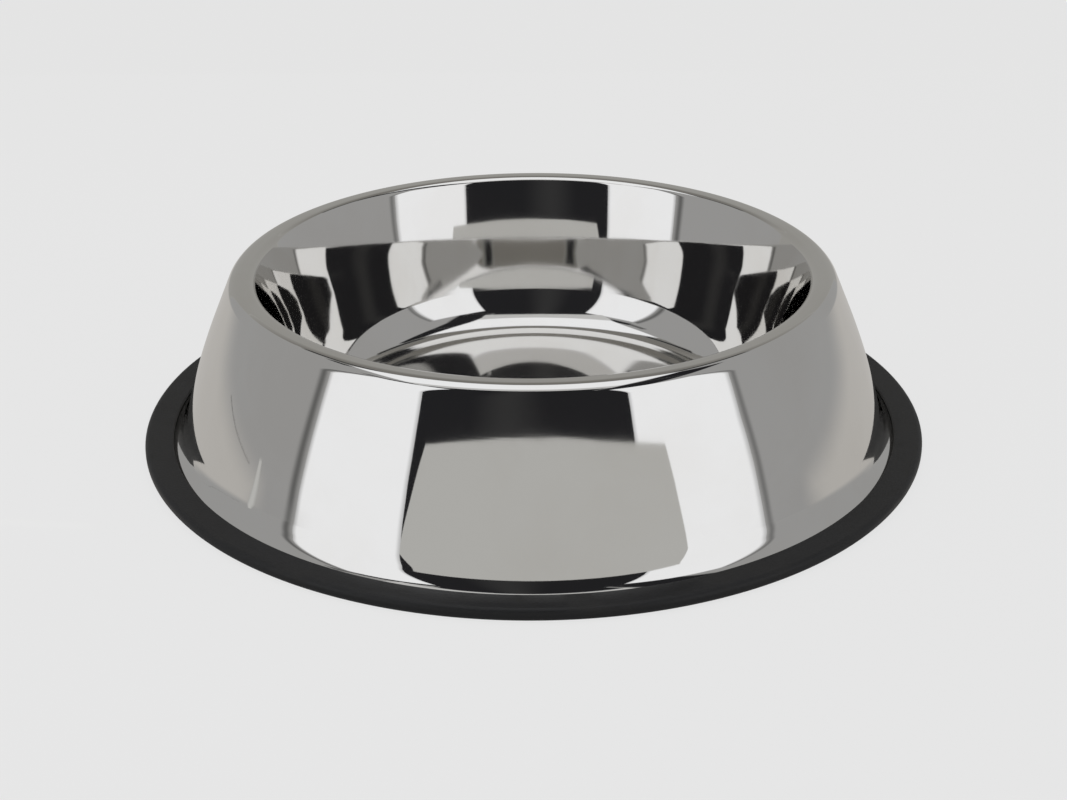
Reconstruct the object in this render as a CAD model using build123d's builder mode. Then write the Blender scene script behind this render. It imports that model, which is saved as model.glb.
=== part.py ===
from build123d import *
from math import atan2, radians, sqrt, tan
import os

# Stainless dog bowl: one drawn steel sheet, and the rubber ring that grips the flange at its foot.
# Millimetres, +Z up. The origin is on the ground, under the middle of the bowl.

# Bowl as a whole
bowl_height = 54.2  # ground to the top of the rim
floor_lift = 2.9  # ground to the food side of the well's floor
sheet = 0.5  # thickness of the steel

# Well's wall and rim, measured on the polished side
mouth_diameter = 175.0  # across the well's wall where it would meet the rim's top
flare_depth = 12.4  # from the rim's top down to the turn between flare and wall
flare_lean = 21.7  # degrees that the wall's top leans out, where it flares to the rim
flare_bend = 115.0
wall_lean = 13.2  # degrees that the wall leans out from upright
rim_width = 6.75  # from the flare's line to the skirt's line at the rim's top
rim_inner_bend = 2.8
rim_outer_bend = 4.9

# Foot of the well's wall: it turns in at a wide belly and at a heel, and then into the floor
belly_rise = 11.3  # from the heel's corner up to the belly's
belly_lean = 19.0  # degrees, between belly and heel
belly_bend = 134.0
heel_rise = 7.7  # from the floor up to the heel's corner
heel_lean = 41.5  # degrees, between heel and floor
heel_bend = 24.5
floor_bend = 11.3

# Skirt and flange, measured on the polished side
knee_height = 27.0  # height where the skirt bulges most
knee_out = 1.6  # how far its two straight lines meet outside the line from rim to ankle
knee_bend = 220.0  # wide bend that rounds the knee
ankle_rise = 7.0  # from the flange up to the corner where the skirt begins to turn out
ankle_bend = 18.0  # slow bend at that corner
spread_lean = 27.0  # degrees that the foot spreads from upright, below the ankle
foot_inset = 0.85  # from the ring's lip in to the corner of the foot's and the flange's lines
foot_bend = 8.5  # hollow bend at that corner, which ends under the ring's lip

# Rubber ring
ring_diameter = 250.0
ring_height = 3.8
lip_width = 8.9  # upper lip, from its inner edge to the outside of the ring
lip_drop = 0.45  # how far the upper lip falls towards its inner edge
lip_gap = 0.1  # room between the upper lip's inner edge and the hollow bend
lower_lip = 0.6  # rubber between the flange and the ground
lower_lip_reach = 1.1  # how far the lower lip goes further in than the upper one
ring_wall = 3.6  # rubber outside the groove
edge_gap = 0.4  # room between the flange's edge and the bottom of the groove
ring_round = 1.6  # rounding of the ring's outer edges
lip_round = 0.5  # rounding of the upper lip's inner edge

# Places that both pieces share
ring_radius = ring_diameter / 2
lip_inner = ring_radius - lip_width
lower_inner = lip_inner - lower_lip_reach
groove_wall = ring_radius - ring_wall
flange_top = lower_lip + sheet
flange_edge = groove_wall - edge_gap

# Corners of the well's polished side, from the rim down to the floor
mouth = Vector(mouth_diameter / 2, bowl_height)
heel_height = floor_lift + heel_rise
belly_height = heel_height + belly_rise


def below(corner, height, lean):
    """The corner that lies lower on the well's wall, after a run with this lean."""
    return Vector(corner.X - (corner.Y - height) * tan(radians(lean)), height)


flare = below(mouth, bowl_height - flare_depth, flare_lean)
belly = below(flare, belly_height, wall_lean)
heel = below(belly, heel_height, belly_lean)
floor_corner = below(heel, floor_lift, heel_lean)

# Corners of the skirt's polished side, from the rim down to the flange
rim = Vector(mouth.X + rim_width, bowl_height)
foot = Vector(lip_inner - foot_inset, flange_top)
ankle = Vector(foot.X - ankle_rise * tan(radians(spread_lean)), flange_top + ankle_rise)
knee_share = (knee_height - ankle.Y) / (bowl_height - ankle.Y)
knee = Vector(ankle.X + (rim.X - ankle.X) * knee_share + knee_out, knee_height)
skirt_lean = atan2(ankle.X - knee.X, knee.Y - ankle.Y)


def fitting(bend, turn, *rooms):
    """The bend, or the widest one that the runs beside its corner have room for."""
    return min(bend, min(rooms) / tan(turn / 2))


# Bends of the well, each limited by its share of the two runs that meet there
flare_run = (mouth - flare).length
wall_run = (flare - belly).length
belly_run = (belly - heel).length
heel_run = (heel - floor_corner).length
flare_round = fitting(flare_bend, radians(flare_lean - wall_lean), flare_run * 0.75, wall_run * 0.5)
belly_round = fitting(belly_bend, radians(belly_lean - wall_lean), wall_run * 0.5, belly_run * 0.58)
heel_round = fitting(heel_bend, radians(heel_lean - belly_lean), belly_run * 0.42, heel_run * 0.49)
floor_round = fitting(floor_bend, radians(90 - heel_lean), heel_run * 0.51, floor_corner.X / 2)

# Bends of the foot, limited in the same way
spread_run = (ankle - foot).length
ankle_turn = abs(radians(spread_lean) - skirt_lean)
foot_turn = radians(90 - spread_lean)
ankle_round = fitting(ankle_bend, ankle_turn, spread_run * 0.28)
foot_round = fitting(foot_bend, foot_turn, spread_run * 0.72, (flange_edge - foot.X) * 0.92)

# The hollow bend leaves the flange at the seat radius, and lifts the upper lip's inner edge
seat_radius = foot.X + foot_round * tan(foot_turn / 2)
bend_run = max(seat_radius - lip_inner, 0)
lip_seat = flange_top + foot_round - sqrt(foot_round**2 - bend_run**2) + lip_gap

# The knee's bend is limited by the shorter of the two runs that it joins
knee_turn = abs(atan2(knee.X - rim.X, rim.Y - knee.Y) - skirt_lean)
upper_room = (rim - knee).length - rim_outer_bend
lower_room = (knee - ankle).length - ankle_round * tan(ankle_turn / 2)
knee_round = fitting(knee_bend, knee_turn, upper_room * 0.95, lower_room * 0.95)

os.makedirs("parts", exist_ok=True)

# Steel bowl: the polished side is drawn first, and the sheet's thickness lies behind it
with BuildPart() as steel_bowl:
    with BuildSketch(Plane.XZ):
        with BuildLine():
            FilletPolyline(
                (0, floor_lift),
                floor_corner,
                heel,
                belly,
                flare,
                mouth,
                rim,
                knee,
                ankle,
                foot,
                (flange_edge, flange_top),
                radius=[
                    floor_round,
                    heel_round,
                    belly_round,
                    flare_round,
                    rim_inner_bend,
                    rim_outer_bend,
                    knee_round,
                    ankle_round,
                    foot_round,
                ],
            )
            offset(amount=sheet, side=Side.RIGHT)
        make_face()
    revolve(axis=Axis.Z)
steel_bowl.part.label = "steel_bowl"
export_step(steel_bowl.part, "parts/steel_bowl.step")

# Rubber ring: a rounded band with two lips, and a groove as high as the sheet is thick
with BuildPart() as rubber_ring:
    with BuildSketch(Plane.XZ):
        with BuildLine():
            FilletPolyline(
                (lower_inner, 0),
                (ring_radius, 0),
                (ring_radius, ring_height),
                (lip_inner, ring_height - lip_drop),
                (lip_inner, lip_seat),
                (seat_radius, flange_top),
                (groove_wall, flange_top),
                (groove_wall, lower_lip),
                (lower_inner, lower_lip),
                radius=[0, ring_round, ring_round, lip_round, 0, 0, 0, 0, 0],
                close=True,
            )
        make_face()
    revolve(axis=Axis.Z)
rubber_ring.part.label = "rubber_ring"
export_step(rubber_ring.part, "parts/rubber_ring.step")
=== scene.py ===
from math import pi, radians, sqrt, tan

import bpy
from mathutils import Matrix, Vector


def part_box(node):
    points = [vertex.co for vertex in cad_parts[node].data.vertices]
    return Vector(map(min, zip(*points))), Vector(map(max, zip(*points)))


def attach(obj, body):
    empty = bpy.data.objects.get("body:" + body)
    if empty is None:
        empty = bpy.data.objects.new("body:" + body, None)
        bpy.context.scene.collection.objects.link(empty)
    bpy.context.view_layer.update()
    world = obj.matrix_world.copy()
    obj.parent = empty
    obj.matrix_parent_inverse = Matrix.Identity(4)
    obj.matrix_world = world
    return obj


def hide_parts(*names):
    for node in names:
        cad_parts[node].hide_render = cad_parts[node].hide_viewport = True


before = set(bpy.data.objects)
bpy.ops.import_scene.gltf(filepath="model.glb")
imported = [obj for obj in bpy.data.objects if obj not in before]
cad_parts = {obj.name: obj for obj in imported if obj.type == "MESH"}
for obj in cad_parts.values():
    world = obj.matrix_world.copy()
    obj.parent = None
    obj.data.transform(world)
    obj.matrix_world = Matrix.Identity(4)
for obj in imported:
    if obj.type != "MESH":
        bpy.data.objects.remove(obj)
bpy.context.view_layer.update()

# Stainless dog bowl: a drawn and polished steel sheet that stands in a black rubber ring.
# Metres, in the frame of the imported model. Sizes that the frame holds are read from it.

mm = 0.001
_, ring_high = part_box("rubber_ring")
sheet_low, sheet_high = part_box("steel_bowl")
ring_radius = ring_high.x
flange_edge = sheet_high.x
bowl_height = sheet_high.z
lower_lip = sheet_low.z

# Well and rim
sheet = 0.5 * mm
floor_lift = 2.9 * mm
mouth_radius = 87.5 * mm
flare_depth = 12.4 * mm
flare_bend = 115 * mm
rim_width = 6.75 * mm
rim_inner_bend = 2.8 * mm
rim_outer_bend = 4.9 * mm

# Foot of the well's wall: how high each run of it rises, and how it leans and bends at its top
heel_rise = 7.7 * mm
belly_rise = 11.3 * mm
floor_bend = 11.3 * mm
heel_bend = 24.5 * mm
belly_bend = 134 * mm
heel_lean = radians(41.5)
belly_lean = radians(19)
wall_lean = radians(13.2)
flare_lean = radians(21.7)

# Skirt and flange
knee_height = 27 * mm
knee_out = 1.6 * mm
knee_bend = 220 * mm
ankle_rise = 7 * mm
ankle_bend = 18 * mm
spread_lean = radians(27)
foot_inset = 0.85 * mm
foot_bend = 8.5 * mm

# Rubber ring
ring_height = 3.8 * mm
lip_width = 8.9 * mm
lip_drop = 0.45 * mm
lip_gap = 0.1 * mm
lower_lip_reach = 1.1 * mm
ring_wall = 3.6 * mm
ring_round = 1.6 * mm
lip_round = 0.5 * mm
small_round = 0.15 * mm  # eases the ring's other edges

# Fineness of the turned meshes
turn_steps = 288
bend_steps = 14
merge_distance = 0.001 * mm

# Steel: the clean polish, the haze on it, and the well's floor, which is rubbed most
clear_steel = (0.785, 0.776, 0.757)
hazy_steel = (0.765, 0.752, 0.728)
clear_gloss = 0.032
rubbed_gloss = 0.085
haze_share = 0.35
rubbed_inner = 62 * mm
rubbed_outer = 74 * mm
drawing_waves = 0.05 * mm
polishing_depth = 0.0008 * mm

# Rubber: bare, and with dust on it
bare_rubber = (0.016, 0.016, 0.017)
dusty_rubber = (0.030, 0.029, 0.028)
bare_gloss = 0.5
dusty_gloss = 0.68
grain_depth = 0.06 * mm
mould_depth = 0.03 * mm


def sheet_section():
    """Corners of the polished side, from the middle of the floor to the flange: radius, height, bend."""
    flange_top = lower_lip + sheet
    rim_radius = mouth_radius + rim_width
    wall = [(mouth_radius, bowl_height, rim_inner_bend)]
    heel_height = floor_lift + heel_rise
    belly_height = heel_height + belly_rise
    # down the well, one run after another
    for height, lean, bend in [
        (bowl_height - flare_depth, flare_lean, flare_bend),
        (belly_height, wall_lean, belly_bend),
        (heel_height, belly_lean, heel_bend),
        (floor_lift, heel_lean, floor_bend),
    ]:
        radius, top, _ = wall[0]
        wall.insert(0, (radius - (top - height) * tan(lean), height, bend))
    foot_radius = ring_radius - lip_width - foot_inset
    ankle_radius = foot_radius - ankle_rise * tan(spread_lean)
    ankle_height = flange_top + ankle_rise
    knee_share = (knee_height - ankle_height) / (bowl_height - ankle_height)
    knee_radius = ankle_radius + (rim_radius - ankle_radius) * knee_share + knee_out
    return [
        (0, floor_lift, 0),
        *wall,
        (rim_radius, bowl_height, rim_outer_bend),
        (knee_radius, knee_height, knee_bend),
        (ankle_radius, ankle_height, ankle_bend),
        (foot_radius, flange_top, foot_bend),
        (flange_edge, flange_top, 0),
    ]


def ring_section():
    """Corners of the ring's section, round from the foot of its lower lip: radius, height, bend."""
    flange_top = lower_lip + sheet
    lip_inner = ring_radius - lip_width
    lower_inner = lip_inner - lower_lip_reach
    groove_wall = ring_radius - ring_wall
    seat_radius = lip_inner - foot_inset + foot_bend * tan((pi / 2 - spread_lean) / 2)
    lip_seat = flange_top + foot_bend - sqrt(foot_bend**2 - (seat_radius - lip_inner) ** 2) + lip_gap
    return [
        (lower_inner, 0, small_round),
        (lower_inner, lower_lip, small_round),
        (groove_wall, lower_lip, 0),
        (groove_wall, flange_top, 0),
        (seat_radius, flange_top, small_round),
        (lip_inner, lip_seat, small_round),
        (lip_inner, ring_height - lip_drop, lip_round),
        (ring_radius, ring_height, ring_round),
        (ring_radius, 0, ring_round),
    ]


def turning_tree():
    """Geometry nodes that round the corners of a section and turn it about Z."""
    tree = bpy.data.node_groups.new("turned_section", "GeometryNodeTree")
    face = tree.interface
    face.new_socket("Section", in_out="INPUT", socket_type="NodeSocketGeometry")
    for name in ("Bend Steps", "Turn Steps"):
        face.new_socket(name, in_out="INPUT", socket_type="NodeSocketInt")
    face.new_socket("Axis Distance", in_out="INPUT", socket_type="NodeSocketFloat")
    face.new_socket("Finish", in_out="INPUT", socket_type="NodeSocketMaterial")
    face.new_socket("Piece", in_out="OUTPUT", socket_type="NodeSocketGeometry")
    made = {}
    for key, kind in {
        "in": "NodeGroupInput",
        "bend": "GeometryNodeInputRadius",
        "round": "GeometryNodeFilletCurve",
        "reach": "ShaderNodeMath",
        "shift": "ShaderNodeCombineXYZ",
        "lay": "GeometryNodeTransform",
        "path": "GeometryNodeCurvePrimitiveCircle",
        "turn": "GeometryNodeCurveToMesh",
        "close": "GeometryNodeMergeByDistance",
        "smooth": "GeometryNodeSetShadeSmooth",
        "real": "GeometryNodeRealizeInstances",
        "finish": "GeometryNodeSetMaterial",
        "out": "NodeGroupOutput",
    }.items():
        made[key] = tree.nodes.new(kind)
    made["round"].mode = "POLY"
    made["reach"].operation = "MULTIPLY"
    made["reach"].inputs[1].default_value = -1
    made["lay"].inputs["Rotation"].default_value = (pi / 2, 0, 0)
    made["close"].inputs["Distance"].default_value = merge_distance
    for source, output, target, value in [
        ("in", "Section", "round", "Curve"),
        ("bend", "Radius", "round", "Radius"),
        ("in", "Bend Steps", "round", "Count"),
        ("in", "Axis Distance", "reach", 0),
        ("reach", 0, "shift", "X"),
        ("round", "Curve", "lay", "Geometry"),
        ("shift", "Vector", "lay", "Translation"),
        ("in", "Turn Steps", "path", "Resolution"),
        ("in", "Axis Distance", "path", "Radius"),
        ("path", "Curve", "turn", "Curve"),
        ("lay", "Geometry", "turn", "Profile Curve"),
        ("turn", "Mesh", "close", "Geometry"),
        ("close", "Geometry", "smooth", "Geometry"),
        ("smooth", "Geometry", "real", "Geometry"),
        ("real", "Geometry", "finish", "Geometry"),
        ("in", "Finish", "finish", "Material"),
        ("finish", "Geometry", "out", "Piece"),
    ]:
        tree.links.new(made[source].outputs[output], made[target].inputs[value])
    return tree


def turned_piece(name, corners, closed, material, tree):
    """A plain mesh, turned from the corners of its section."""
    line = bpy.data.curves.new(name + "_section", "CURVE")
    line.dimensions = "3D"
    spline = line.splines.new("POLY")
    spline.points.add(len(corners) - 1)
    for point, (radius, height, bend) in zip(spline.points, corners):
        point.co = (radius, 0, height, 1)
        point.radius = bend
    spline.use_cyclic_u = closed
    section = bpy.data.objects.new(name + "_section", line)
    bpy.context.scene.collection.objects.link(section)
    modifier = section.modifiers.new("turned", "NODES")
    modifier.node_group = tree
    inputs = {s.name: s.identifier for s in tree.interface.items_tree if s.in_out == "INPUT"}
    modifier[inputs["Bend Steps"]] = bend_steps
    modifier[inputs["Turn Steps"]] = turn_steps
    modifier[inputs["Axis Distance"]] = ring_radius
    modifier[inputs["Finish"]] = material
    depsgraph = bpy.context.evaluated_depsgraph_get()
    mesh = bpy.data.meshes.new_from_object(section.evaluated_get(depsgraph), depsgraph=depsgraph)
    bpy.data.objects.remove(section)
    mesh.name = name
    piece = bpy.data.objects.new(name, mesh)
    bpy.context.scene.collection.objects.link(piece)
    return piece


def shader_group(name, inputs, output):
    """An empty shader node group with its input and output nodes."""
    group = bpy.data.node_groups.new(name, "ShaderNodeTree")
    for label, kind in inputs.items():
        group.interface.new_socket(label, in_out="INPUT", socket_type=kind)
    group.interface.new_socket(output, in_out="OUTPUT", socket_type="NodeSocketFloat")
    return group, group.nodes.new("NodeGroupInput"), group.nodes.new("NodeGroupOutput")


def soft_patches():
    """Group: cloudy patches, as of haze, handling or dust, as a mask from 0 to 1."""
    value = "NodeSocketFloat"
    inputs = {"Place": "NodeSocketVector", "Scale": value, "Clear": value, "Full": value}
    group, given, out = shader_group("soft_patches", inputs, "Mask")
    clouds = group.nodes.new("ShaderNodeTexNoise")
    clouds.inputs["Detail"].default_value = 4
    clouds.inputs["Roughness"].default_value = 0.6
    clouds.inputs["Distortion"].default_value = 0.4
    edge = group.nodes.new("ShaderNodeMapRange")
    edge.interpolation_type = "SMOOTHSTEP"
    group.links.new(given.outputs["Place"], clouds.inputs["Vector"])
    group.links.new(given.outputs["Scale"], clouds.inputs["Scale"])
    group.links.new(clouds.outputs["Fac"], edge.inputs["Value"])
    group.links.new(given.outputs["Clear"], edge.inputs["From Min"])
    group.links.new(given.outputs["Full"], edge.inputs["From Max"])
    group.links.new(edge.outputs["Result"], out.inputs["Mask"])
    return group


def turned_lines():
    """Group: fine lines round the Z axis, as polishing or a turned mould leaves them, which come and go."""
    inputs = {"Place": "NodeSocketVector", "Lines": "NodeSocketFloat", "Break": "NodeSocketFloat"}
    group, given, out = shader_group("turned_lines", inputs, "Height")
    split = group.nodes.new("ShaderNodeSeparateXYZ")
    flat = group.nodes.new("ShaderNodeVectorMath")
    flat.operation = "MULTIPLY"
    flat.inputs[1].default_value = (1, 1, 0)
    radius = group.nodes.new("ShaderNodeVectorMath")
    radius.operation = "LENGTH"
    along = group.nodes.new("ShaderNodeMath")
    along.operation = "MULTIPLY"
    join = group.nodes.new("ShaderNodeCombineXYZ")
    lines = group.nodes.new("ShaderNodeTexNoise")
    lines.inputs["Detail"].default_value = 3
    group.links.new(given.outputs["Place"], split.inputs[0])
    group.links.new(given.outputs["Place"], flat.inputs[0])
    group.links.new(flat.outputs[0], radius.inputs[0])
    group.links.new(split.outputs["X"], along.inputs[0])
    group.links.new(given.outputs["Break"], along.inputs[1])
    group.links.new(radius.outputs["Value"], join.inputs["X"])
    group.links.new(split.outputs["Z"], join.inputs["Y"])
    group.links.new(along.outputs[0], join.inputs["Z"])
    group.links.new(join.outputs[0], lines.inputs["Vector"])
    group.links.new(given.outputs["Lines"], lines.inputs["Scale"])
    group.links.new(lines.outputs["Fac"], out.inputs["Height"])
    return group


class Finish:
    """A Principled material whose varying inputs are laid on step by step."""

    def __init__(self, name):
        self.material = bpy.data.materials.new(name)
        self.material.use_nodes = True
        self.tree = self.material.node_tree
        self.shader = self.tree.nodes["Principled BSDF"]
        self.place = self.tree.nodes.new("ShaderNodeTexCoord").outputs["Object"]

    def effect(self, group, **values):
        """Places a node group with its own values."""
        node = self.tree.nodes.new("ShaderNodeGroup")
        node.node_tree = group
        self.tree.links.new(self.place, node.inputs["Place"])
        for label, value in values.items():
            node.inputs[label].default_value = value
        return node.outputs[0]

    def noise(self, scale, detail=2.0):
        """A plain noise."""
        node = self.tree.nodes.new("ShaderNodeTexNoise")
        node.inputs["Scale"].default_value = scale
        node.inputs["Detail"].default_value = detail
        self.tree.links.new(self.place, node.inputs["Vector"])
        return node.outputs["Fac"]

    def near_axis(self, outer, inner):
        """A mask that is 1 near the Z axis, and falls to 0 from the inner to the outer distance."""
        flat = self.tree.nodes.new("ShaderNodeVectorMath")
        flat.operation = "MULTIPLY"
        flat.inputs[1].default_value = (1, 1, 0)
        radius = self.tree.nodes.new("ShaderNodeVectorMath")
        radius.operation = "LENGTH"
        edge = self.tree.nodes.new("ShaderNodeMapRange")
        edge.interpolation_type = "SMOOTHSTEP"
        edge.inputs["From Min"].default_value = inner
        edge.inputs["From Max"].default_value = outer
        edge.inputs["To Min"].default_value = 1
        edge.inputs["To Max"].default_value = 0
        self.tree.links.new(self.place, flat.inputs[0])
        self.tree.links.new(flat.outputs[0], radius.inputs[0])
        self.tree.links.new(radius.outputs["Value"], edge.inputs["Value"])
        return edge.outputs["Result"]

    def together(self, first, share, second):
        """Two masks laid over each other, with only a share of the first."""
        pick = self.tree.nodes.new("ShaderNodeMath")
        pick.operation = "MULTIPLY_ADD"
        pick.use_clamp = True
        pick.inputs[1].default_value = share
        self.tree.links.new(first, pick.inputs[0])
        self.tree.links.new(second, pick.inputs[2])
        return pick.outputs[0]

    def run_round(self):
        """Turns the shader's grain so that it follows circles about Z."""
        circle = self.tree.nodes.new("ShaderNodeTangent")
        circle.direction_type = "RADIAL"
        circle.axis = "Z"
        self.tree.links.new(circle.outputs[0], self.shader.inputs["Tangent"])

    def tint(self, mask, clear, full):
        """Base colour that goes from one tone to another with a mask."""
        mix = self.tree.nodes.new("ShaderNodeMix")
        mix.data_type = "RGBA"
        mix.inputs["A"].default_value = (*clear, 1)
        mix.inputs["B"].default_value = (*full, 1)
        self.tree.links.new(mask, mix.inputs["Factor"])
        self.tree.links.new(mix.outputs["Result"], self.shader.inputs["Base Color"])

    def gloss(self, mask, clear, full):
        """Roughness that goes from one value to another with a mask."""
        span = self.tree.nodes.new("ShaderNodeMapRange")
        span.inputs["To Min"].default_value = clear
        span.inputs["To Max"].default_value = full
        self.tree.links.new(mask, span.inputs["Value"])
        self.tree.links.new(span.outputs["Result"], self.shader.inputs["Roughness"])

    def relief(self, *layers):
        """Bumps laid over each other, each a height and how deep it goes."""
        below = None
        for height, depth in layers:
            bump = self.tree.nodes.new("ShaderNodeBump")
            bump.inputs["Strength"].default_value = 1
            bump.inputs["Distance"].default_value = depth
            self.tree.links.new(height, bump.inputs["Height"])
            if below:
                self.tree.links.new(below, bump.inputs["Normal"])
            below = bump.outputs["Normal"]
        self.tree.links.new(below, self.shader.inputs["Normal"])


def polished_steel(patches, lines):
    """Mirror polish: slightly wavy from drawing, with faint polishing lines and a breath of haze."""
    steel = Finish("polished_steel")
    steel.shader.inputs["Metallic"].default_value = 1
    steel.shader.inputs["Anisotropic"].default_value = 0.7
    steel.shader.inputs["Anisotropic Rotation"].default_value = 0.25
    steel.run_round()
    haze = steel.effect(patches, Scale=22, Clear=0.42, Full=0.68)
    steel.tint(haze, clear_steel, hazy_steel)
    rubbed = steel.near_axis(rubbed_outer, rubbed_inner)
    steel.gloss(steel.together(haze, haze_share, rubbed), clear_gloss, rubbed_gloss)
    polishing = steel.effect(lines, Lines=1800, Break=0.02)
    steel.relief((steel.noise(34), drawing_waves), (polishing, polishing_depth))
    return steel.material


def black_rubber(patches, lines):
    """Moulded rubber: fine grain, the mould's turning lines, and a little dust in patches."""
    rubber = Finish("black_rubber")
    rubber.shader.inputs["IOR"].default_value = 1.45
    dust = rubber.effect(patches, Scale=60, Clear=0.45, Full=0.75)
    rubber.tint(dust, bare_rubber, dusty_rubber)
    rubber.gloss(dust, bare_gloss, dusty_gloss)
    turning = rubber.effect(lines, Lines=2400, Break=0.02)
    rubber.relief((rubber.noise(1400, 3), grain_depth), (turning, mould_depth))
    return rubber.material


patches = soft_patches()
lines = turned_lines()
tree = turning_tree()
bowl = turned_piece("polished_bowl", sheet_section(), False, polished_steel(patches, lines), tree)
wall = bowl.modifiers.new("sheet", "SOLIDIFY")
wall.thickness = sheet
wall.offset = -1
wall.use_even_offset = True
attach(bowl, "root")
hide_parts("steel_bowl")

ring = turned_piece("grip_ring", ring_section(), True, black_rubber(patches, lines), tree)
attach(ring, "root")
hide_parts("rubber_ring")


def soft_panel_light(name, low, high, edge, fade):
    """A panel's own light, from its low to its high edge, with another colour near its borders."""
    material = bpy.data.materials.new(name)
    material.use_nodes = True
    tree = material.node_tree
    tree.nodes.clear()
    place = tree.nodes.new("ShaderNodeUVMap")
    split = tree.nodes.new("ShaderNodeSeparateXYZ")
    tree.links.new(place.outputs["UV"], split.inputs[0])
    tone = tree.nodes.new("ShaderNodeMix")
    tone.data_type = "RGBA"
    tone.inputs["A"].default_value = (*low, 1)
    tone.inputs["B"].default_value = (*high, 1)
    tree.links.new(split.outputs["Y"], tone.inputs["Factor"])
    inner = tree.nodes.new("ShaderNodeMath")
    inner.operation = "MULTIPLY"
    for number, axis in enumerate(("X", "Y")):
        rise = tree.nodes.new("ShaderNodeMath")
        rise.operation = "PINGPONG"
        rise.inputs[1].default_value = 0.5
        tree.links.new(split.outputs[axis], rise.inputs[0])
        ramp = tree.nodes.new("ShaderNodeMapRange")
        ramp.interpolation_type = "SMOOTHSTEP"
        ramp.inputs["From Max"].default_value = fade[number]
        tree.links.new(rise.outputs[0], ramp.inputs["Value"])
        tree.links.new(ramp.outputs["Result"], inner.inputs[number])
    blend = tree.nodes.new("ShaderNodeMix")
    blend.data_type = "RGBA"
    blend.inputs["A"].default_value = (*edge, 1)
    tree.links.new(inner.outputs[0], blend.inputs["Factor"])
    tree.links.new(tone.outputs["Result"], blend.inputs["B"])
    light = tree.nodes.new("ShaderNodeEmission")
    tree.links.new(blend.outputs["Result"], light.inputs["Color"])
    out = tree.nodes.new("ShaderNodeOutputMaterial")
    tree.links.new(light.outputs[0], out.inputs[0])
    return material


def panel(name, corners, low, high=None, edge=None, fade=(0.02, 0.02)):
    """A flat studio panel that only reflections and shading see."""
    mesh = bpy.data.meshes.new(name)
    mesh.from_pydata(corners, [], [(0, 1, 2, 3)])
    layer = mesh.uv_layers.new(name="UVMap")
    for corner, place in zip(layer.data, [(0, 0), (1, 0), (1, 1), (0, 1)]):
        corner.uv = place
    mesh.materials.append(soft_panel_light(name, low, high or low, edge or low, fade))
    made = bpy.data.objects.new(name, mesh)
    made.visible_camera = False
    bpy.context.scene.collection.objects.link(made)
    return made


def upright(name, start, end, low_edge, top, *light, **more):
    """A panel that stands on the plan line from start to end, between two heights."""
    return panel(name, [(*start, low_edge), (*end, low_edge), (*end, top), (*start, top)], *light, **more)


def ceiling(name, height, plan, *light, **more):
    """A level panel over the bowl, from its corners on the plan."""
    return panel(name, [(x, y, height) for x, y in plan], *light, **more)


# Light tent: a lit roof panel, two lit front sides, a grey card and the dark opening with the camera
pale = 0.787
roof = 0.6
far_seam = 1.5  # the seams beside the roof panel lie further away
buried = -0.3  # low edge of a panel whose foot isn't seen
under_roof = roof - 2 * mm
lit = (1.01, 1.022, 1.05)
fading = (0.62, 0.625, 0.64)
half_lit = (0.60, 0.60, 0.60)
card_grey = (0.51, 0.508, 0.495)
cloth = (0.385, 0.382, 0.368)
high_cloth = (0.34, 0.335, 0.32)
dim_cloth = (0.205, 0.198, 0.185)
wall_grey = (0.36, 0.36, 0.36)
shade = (0.14, 0.14, 0.14)
half_shade = (0.2, 0.2, 0.2)
seam_grey = (0.25, 0.25, 0.24)
dark = (0.018, 0.018, 0.020)
lens_grey = (0.036, 0.036, 0.037)

left_front, left_end, left_back = (-0.430, -0.573), (-0.668, -0.232), (-0.700, -0.178)
right_front, right_end, right_back = (0.475, -0.761), (0.666, -0.273), (0.682, -0.232)
left_front_top, left_top = 0.95, 0.83
right_front_top, right_top = 1.05, 0.76
soft_side = {"edge": fading, "fade": (0.05, 0.02)}
frame_side = {"edge": wall_grey, "fade": (0.5, 0.01)}
left_softbox = [
    (*left_front, buried),
    (*left_end, buried),
    (*left_end, left_top),
    (*left_front, left_front_top),
]
right_softbox = [
    (*right_front, buried),
    (*right_end, buried),
    (*right_end, right_top),
    (*right_front, right_front_top),
]
panel("left_softbox", left_softbox, lit, **soft_side)
panel("right_softbox", right_softbox, lit, **soft_side)
upright("left_frame", left_end, left_back, buried, left_top, shade, **frame_side)
upright("right_frame", right_end, right_back, buried, right_top, half_shade, **frame_side)

card_depth, card_top = -0.42, 0.164
card = [
    (-0.306, card_depth, 0),
    (0.372, card_depth, 0),
    (0.347, card_depth, card_top),
    (-0.265, card_depth, card_top),
]
panel("grey_card", card, card_grey)
opening_top = 2.8
middle_side = {"edge": dark, "fade": (0.5, 0.02)}
upright("dark_opening", (-0.95, -1.0), (0.95, -1.0), buried, opening_top, dark)
upright("dark_middle", (-0.40, -0.98), (0.10, -0.98), buried, opening_top, lens_grey, **middle_side)

cloth_left, cloth_right = (-0.45, 0.45), (0.36, 0.45)
cloth_break = 0.35  # height where the cloth begins to darken
upright("back_cloth", cloth_left, cloth_right, buried, cloth_break, cloth, high_cloth)
upright("back_cloth_top", cloth_left, cloth_right, cloth_break, roof, high_cloth, dim_cloth)
roof_light = [(-0.347, -0.19), (0.225, -0.19), (0.245, 0.20), (-0.345, 0.20)]
roof_border = [(-0.347, -0.29), (0.223, -0.29), (0.225, -0.19), (-0.347, -0.19)]
roof_back = [(-0.345, 0.20), (0.245, 0.20), (0.33, 0.45), (-0.42, 0.45)]
ceiling("roof_light", roof, roof_light, lit, edge=fading, fade=(0.03, 0.06))
ceiling("roof_border", roof, roof_border, half_lit)
ceiling("roof_back", roof, roof_back, dim_cloth)

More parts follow.
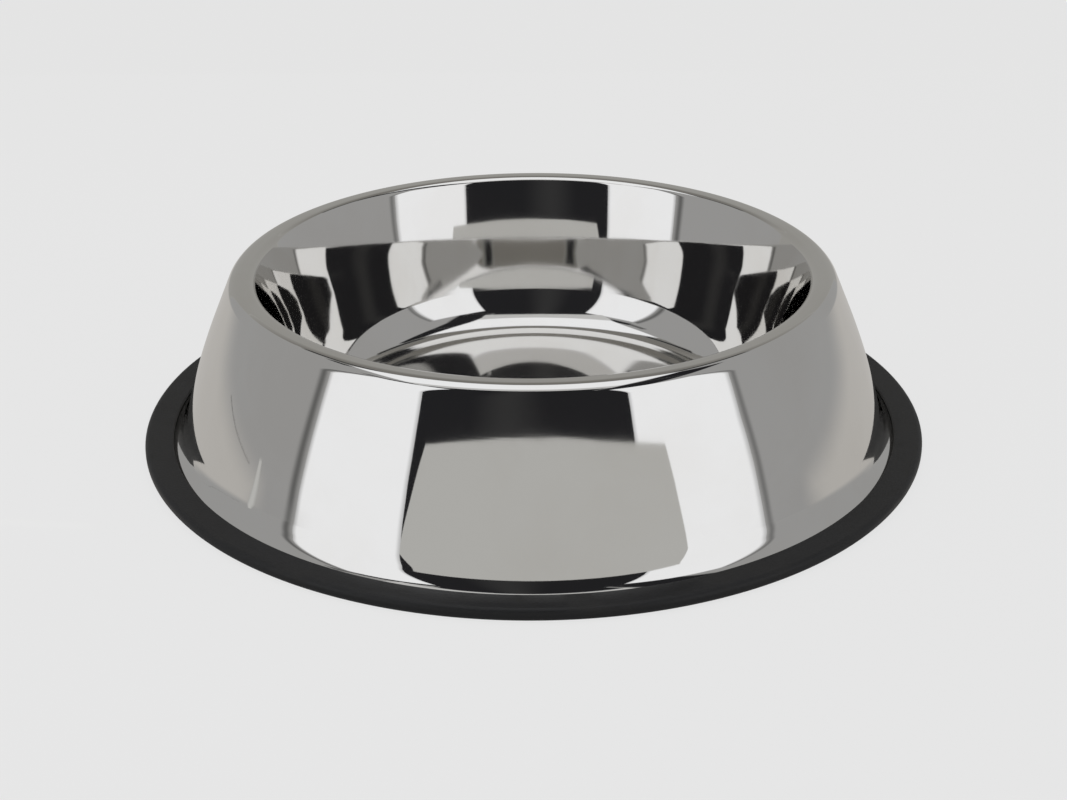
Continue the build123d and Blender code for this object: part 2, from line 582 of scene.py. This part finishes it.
# Dark seams of the tent's cloth, at the roof's back corners and further away beside it
seam = {"edge": seam_grey, "fade": (0.4, 0.05)}
left_corner = [(-0.282, 0.191), (-0.218, 0.239), (-0.355, 0.455), (-0.445, 0.385)]
right_corner = [(0.172, 0.268), (0.25, 0.218), (0.375, 0.41), (0.295, 0.465)]
ceiling("left_corner", under_roof, left_corner, dark, **seam)
ceiling("right_corner", under_roof, right_corner, dark, **seam)
far = {"edge": wall_grey, "fade": (0.12, 0.01)}
left_front_seam = [(-0.59, -0.73), (-0.70, -0.84), (-1.17, -0.40), (-1.02, -0.31)]
left_side_seam = [(-1.17, -0.40), (-1.02, -0.31), (-1.08, -0.10), (-1.27, -0.12)]
left_back_seam = [(-0.84, 0.50), (-0.98, 0.48), (-1.02, 0.74), (-0.88, 0.76)]
right_front_seam = [(0.48, -0.92), (1.05, -0.92), (1.00, -0.08), (0.56, -0.08)]
right_back_seam = [(0.56, -0.08), (1.00, -0.08), (0.93, 0.62), (0.52, 0.62)]
ceiling("left_front_seam", far_seam, left_front_seam, dark, **far)
ceiling("left_side_seam", far_seam, left_side_seam, shade, **far)
ceiling("left_back_seam", far_seam, left_back_seam, dark, **far)
ceiling("right_front_seam", far_seam, right_front_seam, dark, **far)
ceiling("right_back_seam", far_seam, right_back_seam, dark, **far)

# Two lines on the table, a pale and a dark one
table_top = 0.3 * mm
pale_line, pale_line_end = (0.56, 0.56, 0.55), (0.45, 0.45, 0.44)
dark_line, dark_line_end = (0.1, 0.1, 0.1), (0.35, 0.35, 0.34)
line_fade = (0.3, 0.02)
sheet_edge = [(-0.125, -0.075), (-0.125, -0.069), (-0.47, -0.038), (-0.47, -0.048)]
sheet_line = [(-0.270, -0.042), (-0.278, -0.038), (-0.427, 0.125), (-0.419, 0.125)]
ceiling("sheet_edge", table_top, sheet_edge, pale_line, edge=pale_line_end, fade=line_fade)
ceiling("sheet_line", table_top, sheet_line, dark_line, edge=dark_line_end, fade=line_fade)

# Pale table: what the camera sees of it, and what the steel sees, where the table's glow is painted shade
# in front of the bowl's middle and painted light behind it
table_shading = (0.12, 0.12, 0.12)
table_glow = (0.735, 0.735, 0.735)
# painted shade and light: the table's glow as the steel sees it, darker in front of the bowl's middle and
# lighter behind
shaded_front_table = (0.345, 0.345, 0.345)
lit_back_table = (0.52, 0.505, 0.485)
front_ends, back_begins = -0.085, -0.06
sheen_begins, sheen_full = 0.83, 0.95  # how grazing a look is, from 0 to 1
sheen_gloss = 0.02


def floor_material():
    """The table's surface: it keeps a soft shadow, shows the steel painted shade in front and painted light
    behind, shines at grazing angles, and is clear from below.
    """
    material = bpy.data.materials.new("pale_floor")
    material.use_nodes = True
    tree = material.node_tree
    tree.nodes.clear()
    path = tree.nodes.new("ShaderNodeLightPath")
    side = tree.nodes.new("ShaderNodeNewGeometry")
    # what the camera sees, with the shadow
    lit_part = tree.nodes.new("ShaderNodeBsdfDiffuse")
    lit_part.inputs["Color"].default_value = (*table_shading, 1)
    base = tree.nodes.new("ShaderNodeEmission")
    base.inputs["Color"].default_value = (*table_glow, 1)
    tree.links.new(path.outputs["Is Camera Ray"], base.inputs["Strength"])
    plain = tree.nodes.new("ShaderNodeAddShader")
    tree.links.new(lit_part.outputs[0], plain.inputs[0])
    tree.links.new(base.outputs[0], plain.inputs[1])
    # what the steel sees: a glow of painted shade in front of the bowl's middle and painted light behind
    # it, and a sheen at grazing angles
    sheen = tree.nodes.new("ShaderNodeBsdfGlossy")
    sheen.inputs["Color"].default_value = (1, 1, 1, 1)
    sheen.inputs["Roughness"].default_value = sheen_gloss
    place = tree.nodes.new("ShaderNodeTexCoord")
    split = tree.nodes.new("ShaderNodeSeparateXYZ")
    tree.links.new(place.outputs["Object"], split.inputs[0])
    back = tree.nodes.new("ShaderNodeMapRange")
    back.interpolation_type = "SMOOTHSTEP"
    back.inputs["From Min"].default_value = front_ends
    back.inputs["From Max"].default_value = back_begins
    tree.links.new(split.outputs["Y"], back.inputs["Value"])
    tone = tree.nodes.new("ShaderNodeMix")
    tone.data_type = "RGBA"
    tone.inputs["A"].default_value = (*shaded_front_table, 1)
    tone.inputs["B"].default_value = (*lit_back_table, 1)
    tree.links.new(back.outputs["Result"], tone.inputs["Factor"])
    # painted light and shade: the table glows with these tones instead of being lit
    near = tree.nodes.new("ShaderNodeEmission")
    tree.links.new(tone.outputs["Result"], near.inputs["Color"])
    graze = tree.nodes.new("ShaderNodeLayerWeight")
    graze.inputs["Blend"].default_value = 0.5
    grow = tree.nodes.new("ShaderNodeMapRange")
    grow.interpolation_type = "SMOOTHSTEP"
    grow.inputs["From Min"].default_value = sheen_begins
    grow.inputs["From Max"].default_value = sheen_full
    tree.links.new(graze.outputs["Facing"], grow.inputs["Value"])
    shiny = tree.nodes.new("ShaderNodeMixShader")
    tree.links.new(grow.outputs["Result"], shiny.inputs[0])
    tree.links.new(near.outputs[0], shiny.inputs[1])
    tree.links.new(sheen.outputs[0], shiny.inputs[2])
    table = tree.nodes.new("ShaderNodeMixShader")
    tree.links.new(path.outputs["Is Glossy Ray"], table.inputs[0])
    tree.links.new(plain.outputs[0], table.inputs[1])
    tree.links.new(shiny.outputs[0], table.inputs[2])
    below = tree.nodes.new("ShaderNodeBsdfTransparent")
    pick = tree.nodes.new("ShaderNodeMixShader")
    tree.links.new(side.outputs["Backfacing"], pick.inputs[0])
    tree.links.new(table.outputs[0], pick.inputs[1])
    tree.links.new(below.outputs[0], pick.inputs[2])
    out = tree.nodes.new("ShaderNodeOutputMaterial")
    tree.links.new(pick.outputs[0], out.inputs[0])
    return material


floor_mesh = bpy.data.meshes.new("floor")
reach = 4.0
floor_corners = [(-reach, -reach, 0), (reach, -reach, 0), (reach, reach, 0), (-reach, reach, 0)]
floor_mesh.from_pydata(floor_corners, [], [(0, 1, 2, 3)])
floor_mesh.materials.append(floor_material())
floor = bpy.data.objects.new("floor", floor_mesh)
floor.location.z = -0.02 * mm
bpy.context.scene.collection.objects.link(floor)

# World: pale to the camera, the tent's grey cloth to everything else
tent_grey = 0.365
world = bpy.data.worlds.new("studio")
bpy.context.scene.world = world
world.use_nodes = True
sky = world.node_tree.nodes["Background"]
path = world.node_tree.nodes.new("ShaderNodeLightPath")
level = world.node_tree.nodes.new("ShaderNodeMapRange")
level.inputs["To Min"].default_value = tent_grey
level.inputs["To Max"].default_value = pale
world.node_tree.links.new(path.outputs["Is Camera Ray"], level.inputs["Value"])
world.node_tree.links.new(level.outputs["Result"], sky.inputs["Strength"])
sky.inputs["Color"].default_value = (1, 1, 1, 1)

# Camera at the photograph's place
picture_width = 1067
focal_pixels = 1707.6
camera_place = (0, -0.5062, 0.2441)
camera_pitch = radians(25.191)
camera_roll = radians(-0.304)
camera_data = bpy.data.cameras.new("camera")
camera_data.sensor_width = 36
camera_data.lens = camera_data.sensor_width * focal_pixels / picture_width
camera = bpy.data.objects.new("camera", camera_data)
bpy.context.scene.collection.objects.link(camera)
camera.matrix_world = (
    Matrix.Translation(camera_place)
    @ Matrix.Rotation(pi / 2 - camera_pitch, 4, "X")
    @ Matrix.Rotation(camera_roll, 4, "Z")
)
bpy.context.scene.camera = camera
bpy.context.scene.view_settings.view_transform = "Standard"

bpy.context.view_layer.update()
